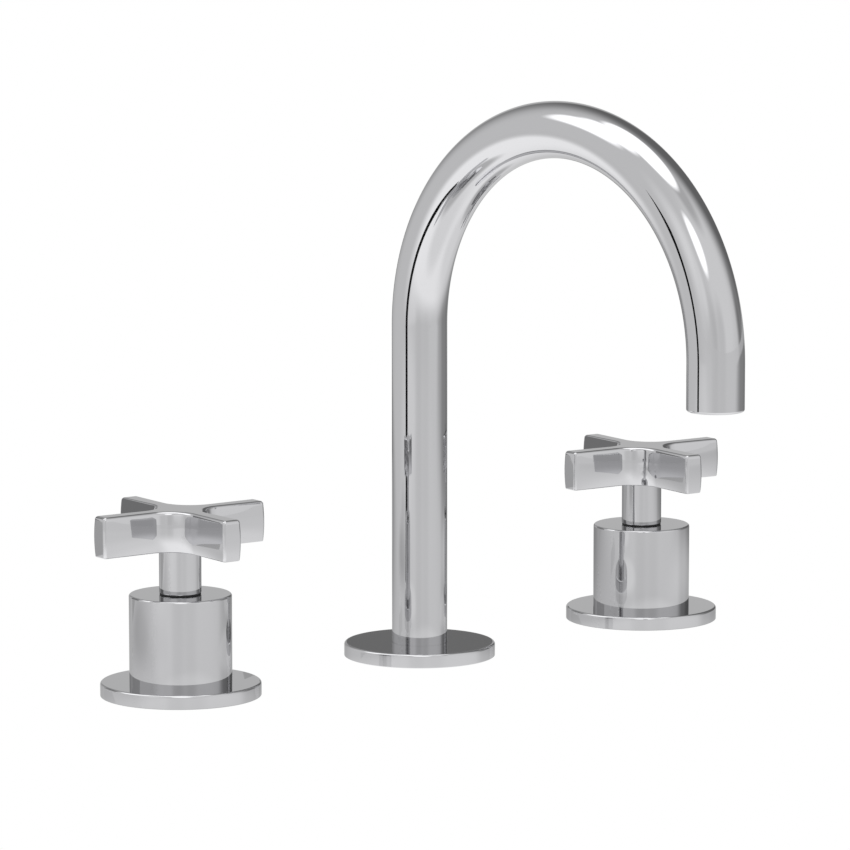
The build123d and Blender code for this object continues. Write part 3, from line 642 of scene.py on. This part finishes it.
class FAUCET_OT_sleeves(Operator):
    """Turn the two sleeves, drill them at the back, and lay a black ring for the dark line under each"""
    bl_idname = "faucet.sleeves"
    bl_label = "Sleeves"

    def execute(self, context):
        sizes = context.scene.faucet_sleeves
        round_steps = context.scene.faucet_flanges.turning_steps
        for side in SIDES:
            node = f"{side}_handle_sleeve"
            centre = Vector((axis_x(side), 0, 0))
            outer, foot, top = radius_of(node), low_of(node), top_of(node)
            bore = outer - sizes.wall
            shoulder = low_of(f"{side}_cross_handle")
            bm = turned(centre, [
                (bore, foot), (outer, foot), (outer, shoulder), (sizes.spigot_radius, shoulder),
                (sizes.spigot_radius, top), (sizes.screw_hole, top),
                (sizes.screw_hole, shoulder - sizes.web), (bore, shoulder - sizes.web),
            ], round_steps, [((outer, foot), sizes.foot_rounding)])
            sleeve = finish_piece(bm, f"{side}_sleeve", f"{side}_handle", [node], "chrome_plate")
            screw_height = (low_of(f"{side}_set_screw") + top_of(f"{side}_set_screw")) / 2
            drill(sleeve, sizes.set_screw_hole, outer,
                  Matrix.Translation((axis_x(side), outer, screw_height)) @ TILT)

            # A thin black ring makes the dark line where the sleeve meets the bonnet
            ring_outer = outer - sizes.ring_inset
            ring_inner = ring_outer - sizes.ring_width
            ring_low, ring_top = top_of(f"{side}_bonnet") + TOUCH_DISTANCE, foot + TOUCH_DISTANCE
            foot_ring = turned(centre, [(ring_inner, ring_low), (ring_outer, ring_low),
                                   (ring_outer, ring_top), (ring_inner, ring_top)], round_steps)
            finish_piece(foot_ring, f"{side}_sleeve_seal", f"{side}_handle", [], "black_rubber")
        return {"FINISHED"}


def mouth_height():
    """Height of the outlet's mouth: the lowest point of the tube in front of the arch's middle."""
    low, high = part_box("spout_tube")
    verts = frame["nodes"]["spout_tube"].data.vertices
    return min(vert.co.z for vert in verts if vert.co.y < (low.y + high.y) / 2)


def swept_skin(bm, radius, sizes):
    """Sweep one skin of the spout: up from the foot, half round the arch and down to the outlet."""
    low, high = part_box("spout_tube")
    tube_radius = radius_of("spout_tube")
    span = high.y - low.y - 2 * tube_radius
    arch_radius = span / 2
    arch_height = high.z - tube_radius - arch_radius
    foot = bmesh.ops.create_circle(bm, cap_ends=False, segments=sizes.round_steps, radius=radius,
                                   matrix=Matrix.Translation((0, 0, low.z)))["verts"]
    ring = list({edge for vert in foot for edge in vert.link_edges})
    riser = bmesh.ops.extrude_edge_only(bm, edges=ring)["geom"]
    bmesh.ops.translate(bm, verts=verts_of(riser), vec=(0, 0, arch_height - low.z))
    ring = edges_of(riser)
    ring_verts = list({vert for edge in ring for vert in edge.verts})
    arch = bmesh.ops.spin(bm, geom=ring_verts + ring, cent=(0, -arch_radius, arch_height), axis=RIGHT,
                          angle=math.pi, steps=sizes.arch_steps)["geom_last"]
    leg = bmesh.ops.extrude_edge_only(bm, edges=edges_of(arch))["geom"]
    bmesh.ops.translate(bm, verts=verts_of(leg), vec=(0, 0, mouth_height() - arch_height))


def closing_ring(bm, centre, bore, outer, height):
    """Close the gap between two round skins with a flat ring, drawn in from the outer skin's edge."""
    ring = ring_edges(bm, centre, outer, height)
    drawn = bmesh.ops.extrude_edge_only(bm, edges=ring)["geom"]
    bmesh.ops.scale(bm, verts=verts_of(drawn), vec=(bore / outer, bore / outer, 1),
                    space=Matrix.Translation(-centre))
    bmesh.ops.remove_doubles(bm, verts=bm.verts, dist=TOUCH_DISTANCE)


class FAUCET_OT_spout_tube(Operator):
    """Sweep the gooseneck tube, with its bore and rounded mouth"""
    bl_idname = "faucet.spout_tube"
    bl_label = "Spout tube"

    def execute(self, context):
        sizes = context.scene.faucet_spout
        outer = radius_of("spout_tube") - MERGE_DISTANCE
        bore = outer - sizes.wall
        low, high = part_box("spout_tube")
        foot = Vector((0, 0, 0))
        mouth = Vector((0, low.y - high.y + 2 * radius_of("spout_tube"), 0))
        mouth_low = mouth_height()
        bm = bmesh.new()
        for radius in (outer, bore):
            swept_skin(bm, radius, sizes)
        closing_ring(bm, foot, bore, outer, low.z)
        closing_ring(bm, mouth, bore, outer, mouth_low)
        bmesh.ops.recalc_face_normals(bm, faces=bm.faces)
        round_off(bm, ring_edges(bm, mouth, outer, mouth_low), sizes.mouth_rounding, FINE_BEVEL)
        round_off(bm, ring_edges(bm, mouth, bore, mouth_low), sizes.bore_rounding, COARSE_BEVEL)
        finish_piece(bm, "gooseneck_tube", "deck_set", ["spout_tube"], "chrome_plate")
        return {"FINISHED"}


class FAUCET_OT_spout_flange(Operator):
    """Turn the round plate at the foot of the spout"""
    bl_idname = "faucet.spout_flange"
    bl_label = "Spout flange"

    def execute(self, context):
        sizes = context.scene.faucet_spout
        rims = context.scene.faucet_flanges
        outer, top = radius_of("spout_flange"), top_of("spout_flange")
        under = low_of("spout_tube")
        bm = turned(Vector((0, 0, 0)), [
            (sizes.flange_recess, 0), (outer, 0), (outer, top), (sizes.flange_hole, top),
            (sizes.flange_hole, under), (sizes.flange_recess, under),
        ], rims.turning_steps, [((outer, top), rims.rim_rounding), ((outer, 0), rims.foot_rounding)])
        finish_piece(bm, "spout_flange_plate", "deck_set", ["spout_flange"], "chrome_plate")
        return {"FINISHED"}


def cut_to_root(bm, start, along, run, radius, depth):
    """Take a plain round stretch of a mesh down to a thread's root, with a cone at each end."""
    def off_axis(vert):
        reach = vert.co - start
        return reach - along * reach.dot(along)

    def skin():
        return [face for face in bm.faces
                if all(abs(off_axis(vert).length - radius) < TOUCH_DISTANCE for vert in face.verts)]

    for place in (0, depth, run - depth, run):
        bmesh.ops.bisect_plane(bm, geom=with_rims(skin()), plane_co=start + along * place, plane_no=along,
                               dist=MERGE_DISTANCE)
    for vert in {vert for face in skin() for vert in face.verts}:
        place = (vert.co - start).dot(along)
        if depth - MERGE_DISTANCE < place < run - depth + MERGE_DISTANCE:
            vert.co -= off_axis(vert).normalized() * depth


def wind_ridge(bm, corner, along, turns, radius, depth, pitch, sizes):
    """Wind a thread's closed ridge: one turn is spun, and the others are copies of it."""
    inside = radius - depth - sizes.bury
    foot, crest = sizes.foot_share * pitch / 2, sizes.crest_share * pitch / 2
    profile = [(inside, pitch / 2 - foot), (radius, pitch / 2 - crest),
               (radius, pitch / 2 + crest), (inside, pitch / 2 + foot)]
    out = along.orthogonal().normalized()
    verts = [bm.verts.new(corner + out * reach + along * place) for reach, place in profile]
    edges = [bm.edges.new((vert, verts[place - 1])) for place, vert in enumerate(verts)]
    before = len(bm.faces)
    bmesh.ops.spin(bm, geom=verts + edges, cent=corner, axis=along, dvec=along * pitch / sizes.turn_steps,
                   angle=math.tau, steps=sizes.turn_steps)
    bm.faces.ensure_lookup_table()
    ridge = with_rims(bm.faces[before:])
    for turn in range(1, turns):
        copied = bmesh.ops.duplicate(bm, geom=ridge)["geom"]
        bmesh.ops.translate(bm, verts=verts_of(copied), vec=along * pitch * turn)
    bmesh.ops.remove_doubles(bm, verts=bm.verts, dist=MERGE_DISTANCE)
    bmesh.ops.holes_fill(bm, edges=[edge for edge in bm.edges if edge.is_boundary], sides=len(profile))


def thread_rows(sizes):
    """For each threaded node, its threads: a point on the axis, the axis, the thread (mm) and the pitch."""
    rows = {}
    for side, inward in zip(SIDES, (1, -1)):
        x = axis_x(side)
        rows[f"{side}_valve_body"] = [
            (Vector((x, 0, 0)), UP, VALVE_SHANK, sizes.shank_pitch),
            (Vector((x, 0, 0)), UP, INLET, sizes.pipe_pitch),
            (Vector((x, 0, VALVE_NIPPLE_HEIGHT * MM)), RIGHT * inward, NIPPLE, sizes.pipe_pitch),
        ]
    rows["spout_base"] = [(Vector((0, 0, 0)), UP, SPOUT_SHANK, sizes.shank_pitch)]
    rows["tee"] = [(Vector((0, 0, TEE_NIPPLE_HEIGHT * MM)), RIGHT * way, NIPPLE, sizes.pipe_pitch)
                   for way in (-1, 1)]
    return rows


class FAUCET_OT_threads(Operator):
    """Wind the threads on the shanks, the inlets and the hose nipples"""
    bl_idname = "faucet.threads"
    bl_label = "Threads"

    def execute(self, context):
        sizes = context.scene.faucet_threads
        for node, rows in thread_rows(sizes).items():
            bm = bmesh.new()
            bm.from_mesh(frame["nodes"][node].data)
            bmesh.ops.remove_doubles(bm, verts=bm.verts, dist=MERGE_DISTANCE)
            for point, along, thread, pitch in rows:
                radius, near_end, far_end = (size * MM for size in thread)
                depth = sizes.depth_share * pitch
                start, run = point + along * near_end, far_end - near_end
                cut_to_root(bm, start, along, run, radius, depth)
                wind_ridge(bm, start + along * depth / 2, along, int((run - depth) / pitch), radius, depth,
                           pitch, sizes)
            finish_piece(bm, f"{node}_threaded", "deck_set", [node], "brass")
        return {"FINISHED"}


class FAUCET_OT_finishes(Operator):
    """Give every CAD piece that is shown as it is its own finish"""
    bl_idname = "faucet.finishes"
    bl_label = "Finishes"

    def execute(self, context):
        for row in frame["record"]["subparts"]:
            piece = frame["nodes"][row["node"]]
            if not piece.hide_render:
                piece.data.materials.clear()
                piece.data.materials.append(shared_material(FINISHES[row["material_slot"]]))
        return {"FINISHED"}


# Studio
def aim(azimuth, elevation=0.0):
    """A direction in the camera's own frame: -Y is towards the camera and +X towards its right."""
    side, rise = math.radians(azimuth), math.radians(elevation)
    return Vector((math.sin(side) * math.cos(rise), -math.cos(side) * math.cos(rise), math.sin(rise)))


def calculate(tree, operation, *values):
    """The result of a sum on numbers and sockets."""
    return add_node(tree, "ShaderNodeMath", enumerate(values), operation=operation).outputs[0]


def blend_spot(tree, place, level, centre, radius, edge, spot_level):
    """Blend a round spot with a soft edge into a level, and hand the new level on."""
    away = add_node(tree, "ShaderNodeVectorMath", {0: place, 1: centre}, operation="DISTANCE")
    mask = ranged(tree, away.outputs["Value"], (radius + edge / 2, radius - edge / 2),
                  interpolation_type="SMOOTHSTEP")
    mixed = calculate(tree, "MULTIPLY", mask, spot_level)
    return calculate(tree, "MULTIPLY_ADD", calculate(tree, "SUBTRACT", 1.0, mask), level, mixed)


def turned_place(tree, output, azimuth):
    """Coordinates turned into the camera's frame, so that the studio turns with it."""
    place = add_node(tree, "ShaderNodeTexCoord")
    return add_node(tree, "ShaderNodeMapping", {
        "Vector": place.outputs[output], "Rotation": (0, 0, -azimuth)}).outputs["Vector"]


def glow(tree, level, kind="ShaderNodeEmission"):
    """Colourless light of some level."""
    return add_node(tree, kind, {"Color": WHITE, "Strength": level}).outputs[0]


def mix_shaders(tree, amount, first, second):
    return add_node(tree, "ShaderNodeMixShader", {0: amount, 1: first, 2: second}).outputs[0]


def white_to_camera(tree, sent, kind):
    """Plain white to the camera, and the shader handed in to everything else."""
    path = add_node(tree, "ShaderNodeLightPath")
    return mix_shaders(tree, path.outputs["Is Camera Ray"], sent, glow(tree, 1.0, kind))


def floor_light(tree, place, spots):
    """Painted light and painted shade from the floor, as a share of its level."""
    level = 1.0
    for azimuth, distance, radius, edge, spot_level in spots:
        level = blend_spot(tree, place, level, aim(azimuth) * distance * MM, radius * MM, edge * MM,
                           spot_level)
    return level


def floor_board(setup):
    """White board that glows with painted light and shade, brightest from above, faintly mirroring at a
    glance.
    """
    material = empty_material("glossy_white_board")
    tree = material.node_tree
    place = turned_place(tree, "Object", setup.azimuth)
    glancing = floor_light(tree, place, GLANCE_SPOTS)
    steep = floor_light(tree, place, STEEP_SPOTS)
    facing = add_node(tree, "ShaderNodeLayerWeight", {"Blend": 0.5})
    glance = ranged(tree, facing.outputs["Facing"], BOARD_GLANCE, interpolation_type="SMOOTHSTEP")
    dimmed = calculate(tree, "MULTIPLY", glancing, setup.floor_glance)
    light = ranged(tree, glance, (0, 1), (steep, dimmed))
    level = calculate(tree, "MULTIPLY", light, setup.floor_level)
    mirror = add_node(tree, "ShaderNodeBsdfGlossy", {"Color": WHITE, "Roughness": BOARD_ROUGHNESS})
    sent = mix_shaders(tree, calculate(tree, "MULTIPLY", glance, setup.floor_mirror), glow(tree, level),
                       mirror.outputs[0])
    add_node(tree, "ShaderNodeOutputMaterial", {
        "Surface": white_to_camera(tree, sent, "ShaderNodeEmission")})
    return material


def shown_within(material, measured, reach, level):
    """Give a cloth its faint glow where a measure is within reach, and leave it clear elsewhere."""
    tree = material.node_tree
    near = calculate(tree, "COMPARE", measured, *reach)
    clear = add_node(tree, "ShaderNodeBsdfTransparent")
    add_node(tree, "ShaderNodeOutputMaterial", {
        "Surface": mix_shaders(tree, near, clear.outputs[0], glow(tree, level))})
    return material


def flag_felt():
    """Black felt that only the spout mirrors: the valves are nearer to it or farther away."""
    material = empty_material("black_felt")
    tree = material.node_tree
    place = add_node(tree, "ShaderNodeTexCoord")
    from_spout = add_node(tree, "ShaderNodeVectorMath", {0: place.outputs["Object"]}, operation="LENGTH")
    path = add_node(tree, "ShaderNodeLightPath")
    beyond = calculate(tree, "SUBTRACT", path.outputs["Ray Length"], from_spout.outputs["Value"])
    return shown_within(material, beyond, FLAG_REACH, FLAG_LEVEL)


def screen_cloth(tone, level):
    """Cloth beside a handle that the spout doesn't mirror, because it is farther away."""
    material = empty_material(f"{tone}_screen_cloth")
    path = add_node(material.node_tree, "ShaderNodeLightPath")
    return shown_within(material, path.outputs["Ray Length"], SCREEN_REACH, level)


def card_paper():
    """Mid grey card that darkens the top of the spout's flange."""
    material = empty_material("grey_card")
    tree = material.node_tree
    add_node(tree, "ShaderNodeOutputMaterial", {"Surface": glow(tree, CARD_LEVEL)})
    return material


def studio_world(setup):
    """The walls, the soft boxes and the dark corner of the studio, as directions round the faucet."""
    world = bpy.data.worlds.new("soft_studio")
    world.use_nodes = True
    tree = world.node_tree
    tree.nodes.clear()
    place = turned_place(tree, "Generated", setup.azimuth)
    level = setup.wall_level
    for azimuth, elevation, radius, edge, spot_level in SKY_SPOTS:
        chord = 2 * math.sin(math.radians(radius) / 2)
        level = blend_spot(tree, place, level, aim(azimuth, elevation), chord, math.radians(edge),
                           spot_level)
    kind = "ShaderNodeBackground"
    add_node(tree, "ShaderNodeOutputWorld", {
        "Surface": white_to_camera(tree, glow(tree, level, kind), kind)})
    return world


def stage_sheet(name, width, depth, material, place, tail=None, seen=False):
    """A flat sheet of the stage, which isn't part of the faucet. Its tail is drawn from its lower edge."""
    bm = bmesh.new()
    bmesh.ops.create_grid(bm, x_segments=1, y_segments=1, size=0.5,
                          matrix=place @ Matrix.Diagonal((width, depth, 1, 1)))
    if tail is not None:
        lower = min(bm.edges, key=lambda edge: sum(vert.co.z for vert in edge.verts))
        drawn = bmesh.ops.extrude_edge_only(bm, edges=[lower])["geom"]
        bmesh.ops.scale(bm, verts=verts_of(drawn), vec=(tail, tail, 1))
    mesh = bpy.data.meshes.new(name)
    bm.to_mesh(mesh)
    bm.free()
    mesh.materials.append(material)
    sheet = bpy.data.objects.new(name, mesh)
    sheet.visible_camera = seen
    bpy.context.scene.collection.objects.link(sheet)


class FAUCET_OT_studio(Operator):
    """Set the pale floor, the soft studio light and the camera"""
    bl_idname = "faucet.studio"
    bl_label = "Studio"

    def execute(self, context):
        setup = context.scene.faucet_studio
        stage_sheet("floor", setup.floor_size, setup.floor_size, floor_board(setup),
                    Matrix.Translation((0, 0, -setup.floor_drop)), seen=True)
        context.scene.world = studio_world(setup)
        context.scene.view_settings.view_transform = "Standard"

        foot = Vector(setup.flag_place)
        turn = Matrix.Rotation(math.atan2(foot.x, -foot.y), 4, "Z")
        stand = Matrix.Translation(foot + UP * setup.flag_height / 2) @ turn @ TILT
        stage_sheet("black_flag", setup.flag_width, setup.flag_height, flag_felt(), stand, setup.flag_tail)

        side = Matrix.Rotation(setup.azimuth, 4, "Z")
        behind = Matrix.Translation((0, setup.card_distance, setup.card_height))
        stage_sheet("grey_card", setup.card_width, setup.card_depth, card_paper(), side @ behind @ TILT)

        facing = Matrix.Rotation(setup.azimuth + setup.screen_azimuth, 4, "Z") @ TILT
        facing = facing @ Matrix.Rotation(setup.screen_tilt, 4, "Z")
        for tone, low, high, level in SCREENS:
            cloth = screen_cloth(tone, level)
            raised = Matrix.Translation((0, (low + high) / 2 * MM, 0))
            for valve in SIDES:
                meeting = Vector((axis_x(valve), 0, setup.screen_height))
                meeting += side @ aim(math.degrees(setup.screen_azimuth)) * setup.screen_distance
                stage_sheet(f"{valve}_{tone}_screen", setup.screen_width, (high - low) * MM, cloth,
                            Matrix.Translation(meeting) @ facing @ raised)

        data = bpy.data.cameras.new("photo_camera")
        data.lens = setup.lens
        data.clip_start = 10 * MM
        camera = bpy.data.objects.new("photo_camera", data)
        context.scene.collection.objects.link(camera)
        target = side @ Vector((setup.target_side, 0, setup.target_height))
        back = side @ aim(0, math.degrees(setup.elevation))
        camera.location = target + back * setup.distance
        camera.rotation_mode = "QUATERNION"
        camera.rotation_quaternion = (-back).to_track_quat("-Z", "Y")
        context.scene.camera = camera
        return {"FINISHED"}


class FAUCET_PT_pieces(Panel):
    """Lists the pieces in the order in which they are built"""
    bl_label = "Basin faucet"
    bl_idname = "FAUCET_PT_pieces"
    bl_space_type = "VIEW_3D"
    bl_region_type = "UI"
    bl_category = "Faucet"

    def draw(self, context):
        for operator in OPERATORS:
            self.layout.operator(operator.bl_idname)


OPERATORS = (
    FAUCET_OT_valve_flanges,
    FAUCET_OT_bonnets,
    FAUCET_OT_cross_handles,
    FAUCET_OT_sleeves,
    FAUCET_OT_spout_tube,
    FAUCET_OT_spout_flange,
    FAUCET_OT_threads,
    FAUCET_OT_finishes,
    FAUCET_OT_studio,
)
GROUPS = {
    "faucet_flanges": FaucetFlanges,
    "faucet_bonnets": FaucetBonnets,
    "faucet_handles": FaucetHandles,
    "faucet_sleeves": FaucetSleeves,
    "faucet_threads": FaucetThreads,
    "faucet_spout": FaucetSpout,
    "faucet_studio": FaucetStudio,
}


def register():
    for cls in (*GROUPS.values(), *OPERATORS, FAUCET_PT_pieces):
        bpy.utils.register_class(cls)
    for name, group in GROUPS.items():
        setattr(bpy.types.Scene, name, PointerProperty(type=group))


def unregister():
    for name in GROUPS:
        delattr(bpy.types.Scene, name)
    for cls in reversed((*GROUPS.values(), *OPERATORS, FAUCET_PT_pieces)):
        bpy.utils.unregister_class(cls)


def main():
    register()
    for operator in OPERATORS:
        group, name = operator.bl_idname.split(".")
        getattr(getattr(bpy.ops, group), name)()


if __name__ == "__main__":
    main()
